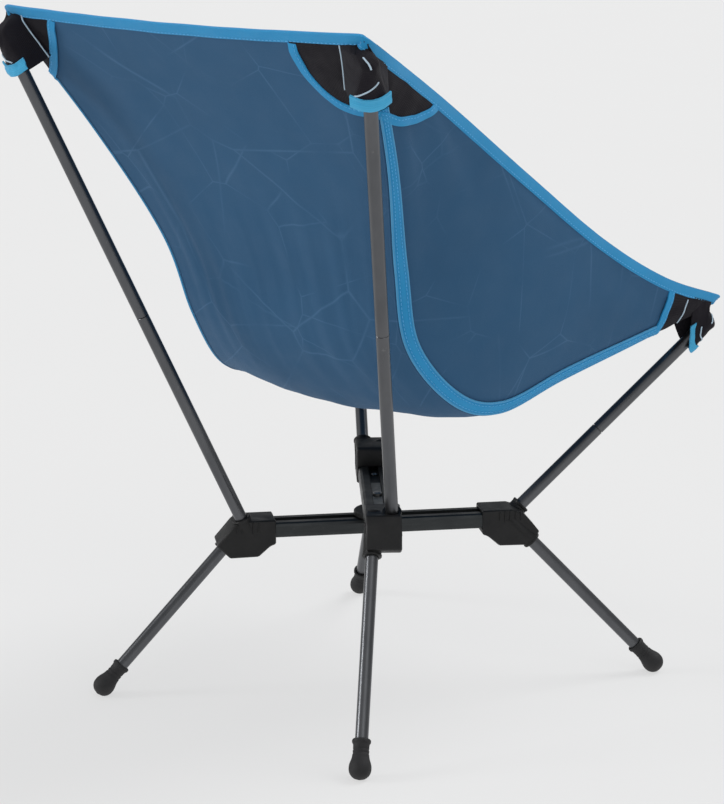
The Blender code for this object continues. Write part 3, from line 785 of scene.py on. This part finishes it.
def build_seams():
    """Each seam: a tape on the side panel with a welt and stitches along both edges, and a fold inside."""
    welt_r = 0.0011
    for name, side in (("left", 1), ("right", -1)):
        stations = seam_stations(side)
        tape, fold, welts, stitches = [], [], ([], []), ([], [], [])
        for point, across, out, share in stations:
            half = 0.0037 + 0.0020 * smooth(0.10, 0.40, share) * smooth(0.95, 0.75, share)
            base = point + across * (half + 0.0012) + out * 0.0017
            ring = []
            for k in range(13):
                t = 2 * k / 12 - 1
                ring.append(base + across * half * t + out * (0.0012 - 0.0010 * t * t))
            for k in range(13):
                t = 1 - 2 * k / 12
                ring.append(base + across * half * t * 0.98 - out * (0.0004 + 0.0006 * t * t))
            tape.append(ring)
            fold.append(round_ring(point - out * 0.0004, across, out, welt_r, 10, 1.3))
            for n, sign in enumerate((-1, 1)):
                centre = base + across * half * sign + out * 0.0001
                welts[n].append(round_ring(centre, across, out, welt_r, 10))
                stitches[n].append(base + across * (half - 0.0026) * sign + out * 0.0011)
            stitches[2].append(out)
        mesh = ring_mesh(f"seam_{name}", tape)
        sew(f"seam_tape_{name}_band", mesh, "trim", replaces=[f"seam_tape_{name}"])
        mesh = ring_mesh(f"fold_{name}", fold)
        sew(f"seam_fold_{name}", mesh, "fabric", sharp=0)
        for n, edge in enumerate(("inner", "outer")):
            mesh = ring_mesh(f"welt_{name}_{edge}", welts[n])
            sew(f"seam_welt_{name}_{edge}", mesh, "piping", sharp=0)
            mesh = stitch_mesh(f"seam_stitch_{name}_{edge}", stitches[n], stitches[2])
            sew(f"seam_stitches_{name}_{edge}", mesh, "thread", sharp=0)


# ---------------------------------------------------------------- corners
def patch_point(name, turn, reach):
    """A point of a corner patch: turn 0 at the back or front rim, 0.5 on the seam, 1 on the side edge.

    Also gives how far that point lies from the bound edge.
    """
    side, end, _ = CORNERS[name]
    across, down, along, power = PATCH[name]
    if turn <= 0.5:
        angle = turn * math.pi
        inward = across * reach * max(math.cos(angle), 0.0) ** power
        below = max(down * reach * math.sin(angle) ** power, UNDER_BINDING)
        distance = below if end == "back" else SEAM.length - below
        half = SEAM.point(distance).x
        return seat_surface(distance, side * (1 - inward / half)), below
    rise = (turn - 0.5) * 2
    length = down + (along - down) * rise
    share = reach * length / SEAM.length
    share = share if end == "back" else 1 - share
    tall = (EDGE.point(EDGE.length * share) - SEAM.point(SEAM.length * share)).length
    rise *= max(0.0, 1 - UNDER_BINDING / tall)
    return side_surface(share, rise, side), (1 - rise) * tall


def away_from_sitter(point):
    """The rough way out of the seat at a point of it."""
    centre = Vector((0, -0.02, 0.56))
    return (point - centre).normalized()


def build_patch(name):
    end = CORNERS[name][1]
    turns, reaches = 56, 22
    grid, inside = [], []
    for i in range(turns + 1):
        line = [patch_point(name, i / turns, 0.16 + 0.84 * j / reaches) for j in range(reaches + 1)]
        grid.append([point for point, _ in line])
        inside.append([gap for _, gap in line])
    for _ in range(3):
        middle = [
            [(above + here * 2 + below) / 4 for above, here, below in zip(*grid[i - 1:i + 2])]
            for i in range(1, turns)
        ]
        grid = [grid[0], *middle, grid[-1]]
    normals = grid_normals(grid)
    mid = grid[turns // 2][reaches // 2]
    flip = normals[turns // 2][reaches // 2].dot(away_from_sitter(mid)) < 0
    sign = -1 if flip else 1
    for i in range(turns + 1):
        for j in range(reaches + 1):
            p = grid[i][j]
            free = smooth(0.011, 0.020, inside[i][j])
            lift = 0.00080 + (0.0008 + 0.0008 * noise.noise(p * 70)) * free
            grid[i][j] = p + normals[i][j] * sign * lift
    mesh = sheet_mesh(f"patch_{name}", grid, CLOTH)
    sew(f"corner_patch_cloth_{name}", mesh, "patch", [f"corner_patch_{name}"])
    stations = []
    normals = grid_normals(grid)
    for i in range(turns + 1):
        if inside[i][-1] < BAND_ROOM:
            continue
        point, inner = grid[i][-1], grid[i][-4]
        before, after = grid[max(i - 1, 0)][-1], grid[min(i + 1, turns)][-1]
        way = (after - before).normalized()
        into = inner - point
        into = (into - into.project(way)).normalized()
        out = normals[i][-1] * sign
        out = (out - out.project(into)).normalized()
        down = 0.0009 * smooth(0.020, 0.011, inside[i][-1])
        stations.append((point + out * (0.0007 - down) - into * 0.002, into, out))
    mesh = band_mesh(f"patch_band_{name}", stations, 0.0088, 0.0016, False)
    sew(f"corner_patch_tape_{name}", mesh, "trim")
    path = [p + into * 0.0063 + out * 0.00085 for p, into, out in stations]
    mesh = stitch_mesh(f"patch_stitch_{name}", path, [s[2] for s in stations])
    sew(f"corner_patch_stitches_{name}", mesh, "thread", sharp=0)
    if end == "front":
        row_at = round(reaches * 0.60)
        path = [grid[i][row_at] for i in range(turns // 2, turns - 3)]
        outs = [normals[i][row_at] * sign for i in range(turns // 2, turns - 3)]
        piping(f"patch_piping_{name}", [p + out * 0.0006 for p, out in zip(path, outs)], outs)


def piping(name, path, outs):
    """A thin pale cord sewn along a path of points; outs are the cloth's normals there."""
    radius = 0.0006
    rings = []
    for k, (centre, lifted) in enumerate(zip(path, outs)):
        along = (path[min(k + 1, len(path) - 1)] - path[max(k - 1, 0)]).normalized()
        aside = along.cross(lifted).normalized()
        rings.append(round_ring(centre, aside, lifted, radius, 8, 1.25))
    sew(name, ring_mesh(name, rings), "pale", sharp=0)


def nearest_seam(point, side):
    """The distance down the seam at which it passes nearest to a point."""
    places = [SEAM.length * k / 400 for k in range(401)]
    return min(places, key=lambda d: (mirrored(SEAM.point(d), side) - point).length)


def build_pocket(name):
    """The pocket that holds a pole's tip: a tent of black cloth over the pole, hemmed with a bright tab."""
    side, end, level = CORNERS[name]
    start, tip = (p - CENTRING for p in corner_lines(side, end, level)[0])
    way = (tip - start).normalized()
    mouth, top, wing = POCKET_MOUTH[end], POCKET_TOP, POCKET_WING[name]
    rows, cols = 28, 44
    grid = []
    for i in range(rows + 1):
        f = i / rows
        along = -mouth + (mouth + top) * f
        axis = tip + way * along
        d = min(max(nearest_seam(axis, side), UNDER_BINDING), SEAM.length - UNDER_BINDING)
        half = SEAM.point(d).x
        centre_base = seat_surface(d, side * (1 - wing / half))
        height = (EDGE.point(EDGE.length * d / SEAM.length) - SEAM.point(d)).length
        rise = min(1 - UNDER_BINDING / max(height, 0.012), wing * 0.8 / max(height, 0.012))
        side_base = side_surface(d / SEAM.length, rise, side)
        out = axis - (centre_base + side_base) / 2
        out = (out - out.project(way)).normalized()
        across = side_base - centre_base
        across = (across - across.project(way)).normalized()
        across = (across - across.project(out)).normalized()
        closing = math.sqrt(max(0.0, 1 - max(0.0, (along - 0.002) / (top - 0.002)) ** 2))
        r = 0.0086 * (0.35 + 0.65 * closing)
        half_wide = r + (0.0062 if end == "back" else 0.0030) * smooth(0.75, 0.0, f)
        crown = axis.lerp((centre_base + side_base) / 2, 1 - closing)
        keys = [centre_base + out * 0.0012]
        for deg in (-95, -50, 0, 50, 95):
            a = math.radians(deg)
            flank = across * math.sin(a) * half_wide
            keys.append(crown + flank + out * math.cos(a) * r * (0.25 + 0.75 * closing))
        keys.append(side_base + out * 0.0012)
        curve = Route(keys)
        row = []
        for j in range(cols + 1):
            p = curve.point(curve.length * j / cols)
            edge = smooth(0, 0.15, j / cols) * smooth(1, 0.85, j / cols)
            pucker = noise.noise(Vector((j * 0.35, f * 4.0, 2.0 + side))) * 0.0012 * edge
            row.append(p + out * pucker)
        grid.append(row)
        if i == 0:
            mouth_out, mouth_across = out, across
    normals = grid_normals(grid)
    mid = normals[rows // 2][cols // 2]
    reference = (tip + way * -0.02) - seat_surface(nearest_seam(tip, side), side * 0.9, False)
    sign = 1 if mid.dot(reference) > 0 else -1
    mesh = sheet_mesh(f"pocket_{name}", grid, 0.0010)
    sew(f"tip_pocket_{name}", mesh, "patch", [f"tip_sleeve_{name}"])

    tab = []
    if end == "front":
        for i in range(7):
            row = []
            for j in range(15, 37):
                lifted = normals[i][j] * sign * (0.0016 + 0.0006 * math.sin(j * 0.5 + i * 0.4))
                row.append(grid[i][j] + lifted - way * 0.0012)
            tab.append(row)
    else:
        for i in range(9):
            along = -mouth - 0.0010 + 0.0105 * i / 8
            row = []
            for j in range(33):
                t = 2 * j / 32 - 1
                depth = 0.0099 * (1 - 0.62 * t * t) + 0.0006 * math.sin(i * 0.8)
                crease = noise.noise(Vector((j * 0.22, i * 0.5, 3.0 + side * 2))) * 0.0007
                point = tip + way * (along + 0.0032 * t * t) + mouth_across * 0.0168 * t
                row.append(point + mouth_out * (depth + crease))
            tab.append(row)
    mesh = sheet_mesh(f"tab_{name}", tab, 0.0018)
    sew(f"pull_tab_band_{name}", mesh, "tab", replaces=[f"pull_tab_{name}"])

    for n, ((f_a, c_a), (f_b, c_b)) in enumerate(POCKET_PIPING):
        path, outs = [], []
        for k in range(15):
            row_at = (f_a + (f_b - f_a) * k / 14) * rows
            col_at = (c_a + (c_b - c_a) * k / 14) * cols
            i, j = min(int(row_at), rows - 1), min(int(col_at), cols - 1)
            low = grid[i][j].lerp(grid[i][j + 1], col_at - j)
            high = grid[i + 1][j].lerp(grid[i + 1][j + 1], col_at - j)
            path.append(low.lerp(high, row_at - i) + normals[i][j] * sign * 0.0009)
            outs.append(normals[i][j] * sign)
        piping(f"pocket_piping_{name}_{n}", path, outs)


# ---------------------------------------------------------------- poles, feet and base
def set_material(node, mat):
    obj = nodes[node]
    obj.data.materials.clear()
    obj.data.materials.append(mat)
    for polygon in obj.data.polygons:
        polygon.material_index = 0


def hard_piece(name, mesh, mat, body, replaces=(), sharp=40):
    """A piece whose mesh is already in the world frame."""
    return finish_piece(name, mesh, MATS[mat], body, Vector(), replaces, sharp)


def tube_piece(name, node, start, way, low, high, body):
    """A length of pole from low to high along way, its ends a little rounded."""
    lip = 0.0004
    profile = [
        (POLE_R - lip, low),
        (POLE_R, low + lip),
        (POLE_R, high - lip),
        (POLE_R - lip, high),
        (POLE_BORE, high),
        (POLE_BORE, low),
    ]
    mesh = turned_mesh(name, profile, 40, True)
    mesh.transform(axis_matrix(start, way))
    hard_piece(name, mesh, "pole", body, [node])


def build_poles():
    for name, (side, end, level) in CORNERS.items():
        (start, tip), (leg_start, foot) = corner_lines(side, end, level)
        depth, leg_depth = SOCKET_DEPTH[level, end]
        way, length = (tip - start).normalized(), (tip - start).length
        split, high = length * POLE_SPLIT, length - 0.014
        body = f"upright_{name}"
        half_gap = 0.00015
        tube_piece(f"pole_lower_{name}", f"upright_lower_{name}", start, way, -depth, split - half_gap, body)
        tube_piece(f"pole_upper_{name}", f"upright_upper_{name}", start, way, split + half_gap, high, body)
        way, length = (foot - leg_start).normalized(), (foot - leg_start).length
        body = f"leg_assembly_{name}"
        tube_piece(f"leg_pole_{name}", f"leg_{name}", leg_start, way, -leg_depth, length - 0.005, body)
        build_foot(name, foot, way)


def build_foot(name, foot, way):
    """A moulded rubber foot: a lipped collar, a waist with two grooves and a bulb worn flat underneath."""
    bore, bulb = POLE_R + 0.0002, 0.0098
    profile = [(bore, -0.006), (bore, -0.0262), (0.0070, -0.0270)]
    profile += [(0.0080, -0.0270), (0.0085, -0.0262), (0.0085, -0.0244), (0.0081, -0.0236)]
    profile += [(0.0075, -0.0228), (0.0073, -0.0205), (0.0073, -0.0185), (0.0070, -0.0180)]
    profile += [(0.0070, -0.0174), (0.0074, -0.0168), (0.0074, -0.0150), (0.0071, -0.0145)]
    profile += [(0.0071, -0.0139), (0.0076, -0.0132)]
    for k in range(1, 18):
        t = k / 18
        z = -0.0125 + 0.0220 * t
        neck = 0.0077 + 0.0025 * smooth(0.0, 0.5, t)
        ball = 0.0102 * math.sqrt(max(0.0, 1 - (max(z, 0.0) / bulb) ** 2))
        profile.append((min(neck, ball) if z > 0 else neck, z))
    profile.append((0.0008, bulb))
    mesh = turned_mesh(f"rubber_{name}", profile, 44)
    mesh.transform(axis_matrix(foot, way))
    for v in mesh.vertices:
        v.co.z = max(v.co.z, 0.0)
    body = f"leg_assembly_{name}"
    hard_piece(f"foot_rubber_{name}", mesh, "rubber", body, [f"foot_{name}"], 50)


def build_hub(name):
    """A moulded hub: the CAD shape with softened edges, ribs on both flanks and a lip round each socket."""
    side, end, level = CORNERS[name]
    body = f"{level}_frame"
    source = nodes[f"hub_{name}"].data
    bm = bmesh.new()
    bm.from_mesh(source)
    bmesh.ops.remove_doubles(bm, verts=bm.verts, dist=1e-6)
    bmesh.ops.dissolve_limit(bm, angle_limit=math.radians(1.0), verts=bm.verts, edges=bm.edges)
    mesh = bpy.data.meshes.new(f"hub_body_{name}")
    bm.to_mesh(mesh)
    bm.free()
    obj = hard_piece(f"hub_body_{name}", mesh, "nylon", body, [f"hub_{name}"], 32)
    bevel = obj.modifiers.new("soft_edges", "BEVEL")
    bevel.width = 0.0007
    bevel.segments = 2
    bevel.limit_method = "ANGLE"
    bevel.angle_limit = math.radians(40)

    turn = Matrix.Translation(PIVOT + CENTRING) @ Matrix.Rotation(
        math.atan2(HUB_Y if end == "back" else -HUB_Y, side * HUB_X), 4, "Z"
    )
    foot_z, head_z = HUB_RIB_Z[level]
    first, pitch, half = 0.1180, 0.0052, 0.0009
    bm = bmesh.new()
    for flank in (-1, 1):
        for k in range(5):
            s = first + pitch * k
            drop = 0.0035 * abs(k - 2) / 2
            verts = []
            for z in (foot_z + drop, head_z - drop * 0.5):
                for y, trim in ((0.0160, 0.0), (0.0172, 0.0004)):
                    verts.append([bm.verts.new((s + w * (half - trim), flank * y, z)) for w in (-1, 1)])
            a, b, c, d = verts
            for p, q in ((a, b), (c, d), (b, d), (a, c)):
                bm.faces.new((p[0], p[1], q[1], q[0]))
            for n in (0, 1):
                bm.faces.new((a[n], b[n], d[n], c[n]))
    mesh = mesh_from(bm, f"hub_ribs_{name}")
    mesh.transform(turn)
    hard_piece(f"hub_ribs_{name}", mesh, "nylon", body, sharp=30)

    mouth = 0.00645
    lines, reaches = corner_lines(side, end, level), HUB_SOCKET_REACH[level]
    for part, (start, finish), reach in zip(("upright", "leg"), lines, reaches):
        way = (finish - start).normalized()
        lip = [(mouth, reach - 0.0022), (0.0089, reach - 0.0022), (0.0092, reach - 0.0017)]
        lip += [(0.0092, reach - 0.0003), (0.0087, reach + 0.0003), (mouth, reach + 0.0003)]
        mesh = turned_mesh(f"collar_{part}", lip, 36, True)
        mesh.transform(axis_matrix(start, way))
        hard_piece(f"hub_lip_{name}_{part}", mesh, "nylon", body, sharp=35)


def dress_cad():
    """New materials on the CAD solids that show as they are."""
    for node in nodes:
        if node.endswith("_crossbar"):
            set_material(node, MATS["bar"])
        elif node.startswith("hub_rivet") or node == "pivot_rivet" or node.startswith("ferrule"):
            set_material(node, MATS["rivet"])
        elif node == "pivot_plate":
            set_material(node, MATS["plate"])
        elif node.startswith("shock_cord"):
            set_material(node, MATS["cord"])
        elif node == "pivot_spacer" or node.startswith("pole_tip"):
            set_material(node, MATS["nylon"])


# ---------------------------------------------------------------- stage
def build_stage():
    """Camera, pale floor, world and suns."""
    azimuth, elevation, away = math.radians(219.43), math.radians(13.635), 2.3496
    back = Vector((
        math.sin(azimuth) * math.cos(elevation),
        -math.cos(azimuth) * math.cos(elevation),
        math.sin(elevation),
    ))
    target = Vector((-0.1226, 0.167, 0.33)) + CENTRING
    camera = bpy.data.objects.new("camera", bpy.data.cameras.new("camera"))
    scene.collection.objects.link(camera)
    camera.location = target + back * away
    camera.rotation_mode = "QUATERNION"
    camera.rotation_quaternion = (-back).to_track_quat("-Z", "Y")
    camera.data.lens = 119.72
    camera.data.sensor_width = 36.0
    camera.data.clip_end = 300.0
    scene.camera = camera

    bm = bmesh.new()
    bmesh.ops.create_circle(bm, cap_ends=True, radius=90.0, segments=96)
    mesh = bpy.data.meshes.new("floor")
    bm.to_mesh(mesh)
    bm.free()
    floor = bpy.data.objects.new("floor", mesh)
    scene.collection.objects.link(floor)
    floor.location.z = -0.0002
    m = Mat("floor_pale", roughness=0.95, Specular_IOR_Level=0.1)
    m.colour(m.mix(m.noise(3.0, 2.0), (0.215, 0.215, 0.215), (0.221, 0.221, 0.221)))
    m.shader.inputs["Emission Color"].default_value = (1.0, 1.0, 1.0, 1.0)
    m.shader.inputs["Emission Strength"].default_value = 0.60
    mesh.materials.append(m.mat)

    world = bpy.data.worlds.new("studio")
    scene.world = world
    world.use_nodes = True
    sky = world.node_tree.nodes["Background"].inputs
    sky["Color"].default_value = (0.80, 0.81, 0.82, 1.0)
    sky["Strength"].default_value = 0.44
    for name, strength, angle, way in LIGHTS:
        data = bpy.data.lights.new(name, "SUN")
        data.energy = strength
        data.angle = math.radians(angle)
        light = bpy.data.objects.new(name, data)
        scene.collection.objects.link(light)
        light.rotation_mode = "QUATERNION"
        light.rotation_quaternion = Vector(way).normalized().to_track_quat("-Z", "Y")


build_stage()
dress_cad()
build_panels()
build_binding()
build_seams()
for corner in CORNERS:
    build_patch(corner)
    build_pocket(corner)
    build_hub(corner)
build_poles()
